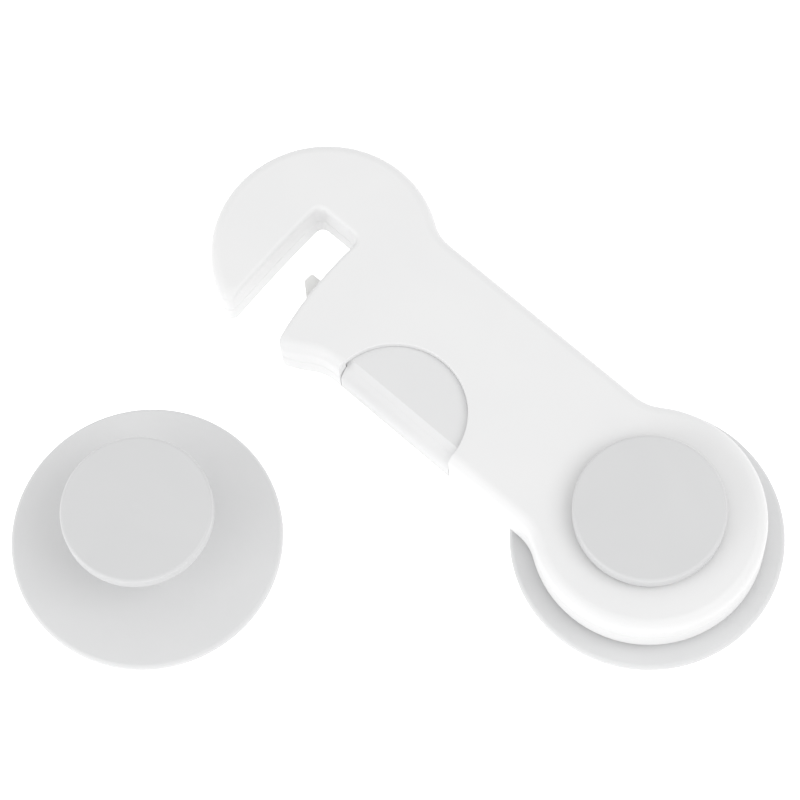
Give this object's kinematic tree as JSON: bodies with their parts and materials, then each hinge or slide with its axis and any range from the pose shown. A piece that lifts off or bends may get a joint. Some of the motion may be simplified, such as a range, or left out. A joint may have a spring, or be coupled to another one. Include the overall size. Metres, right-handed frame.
{
  "type": "stick-on safety latch",
  "caption": "Stick-on safety latch: a wrench-shaped arm swings on an adhesive disc, and its jaw and sprung bolt hold the neck of a catch disc until the side button is pressed.",
  "frame": {"origin": "on the pivot axis, at the adhesive face of the pivot disc's pad", "axes": "+Z away from the surface it is stuck to; +X along the arm from the pivot to the jaw; +Y towards the side on which the jaw opens and the button is pressed"},
  "size_m": [0.1003, 0.0885, 0.0148],
  "materials": {
    "arm_plastic": "satin moulded ABS, bright white",
    "button_plastic": "satin moulded ABS, bright white",
    "disc_plastic": "satin moulded ABS, cool white",
    "bolt_plastic": "smooth acetal, natural white",
    "acetal": "smooth acetal, natural white",
    "foam": "closed-cell foam with adhesive faces",
    "zinc_steel": "zinc-plated steel",
    "spring_steel": "bright drawn spring wire"
  },
  "bodies": {
    "pivot_base": {"pivot_adhesive_pad": "foam", "pivot_base_disc": "disc_plastic", "pivot_knob": "disc_plastic", "pivot_screw": "zinc_steel", "pivot_bush": "acetal", "pivot_lower_washer": "acetal", "pivot_upper_washer": "acetal"},
    "arm": {"arm_top_shell": "arm_plastic", "arm_bottom_shell": "arm_plastic", "arm_screws": "zinc_steel", "button_return_springs": "spring_steel", "latch_bolt_spring": "spring_steel"},
    "button": {"release_button": "button_plastic", "button_cam_pin": "spring_steel"},
    "bolt": {"latch_bolt": "bolt_plastic"},
    "catch": {"catch_adhesive_pad": "foam", "catch_base_disc": "disc_plastic", "catch_knob": "disc_plastic", "catch_screw": "zinc_steel"}
  },
  "joints": [
    {"name": "arm_swing", "type": "hinge", "parent": "pivot_base", "child": "arm", "pos_m": [0, 0, 0.0074], "axis": [0, 0, 1], "range_deg": [-270, 0]},
    {"name": "button_press", "type": "slide", "parent": "arm", "child": "button", "axis": [0, -1, 0], "range_m": [0, 0.0027], "stiffness_N_per_m": 300, "springref_m": -0.005, "deforming": ["button_return_springs"]},
    {"name": "bolt_slide", "type": "slide", "parent": "arm", "child": "bolt", "axis": [-1, 0, 0], "range_m": [0, 0.0027], "stiffness_N_per_m": 150, "springref_m": -0.005, "deforming": ["latch_bolt_spring"]},
    {"name": "catch_approach", "type": "slide", "parent": "pivot_base", "child": "catch", "axis": [0.2123, -0.9772, 0], "range_m": [-0.03, 0.05016]}
  ],
  "couplings": [
    {"joint": "bolt_slide", "follows": "button_press", "ratio": 1}
  ]
}
